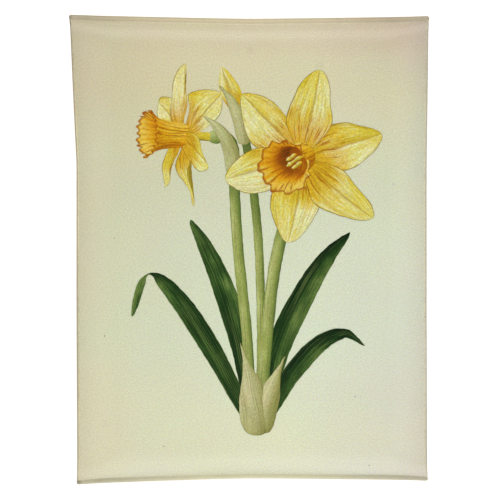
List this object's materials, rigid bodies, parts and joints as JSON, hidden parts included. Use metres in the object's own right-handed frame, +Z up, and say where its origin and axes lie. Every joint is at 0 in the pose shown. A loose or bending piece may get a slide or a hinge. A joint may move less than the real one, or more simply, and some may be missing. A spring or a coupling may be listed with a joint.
{
  "type": "decoupage glass tray",
  "caption": "Shallow rectangular slumped-glass tray with turned-up rims and a botanical print glued under the glass, backed with painted paper.",
  "frame": {"origin": "under the centre of the tray's box, on the surface that it stands on", "axes": "+X across the tray to the picture's right, +Y along the tray to the picture's top, +Z up out of the dish"},
  "size_m": [0.2212, 0.2886, 0.0171],
  "materials": {
    "clear_glass": "polished",
    "printed_paper": "matte",
    "backing_paint": "satin"
  },
  "bodies": {
    "root": {"glass_dish": "clear_glass", "printed_sheet": "printed_paper", "backing_sheet": "backing_paint"}
  },
  "joints": []
}
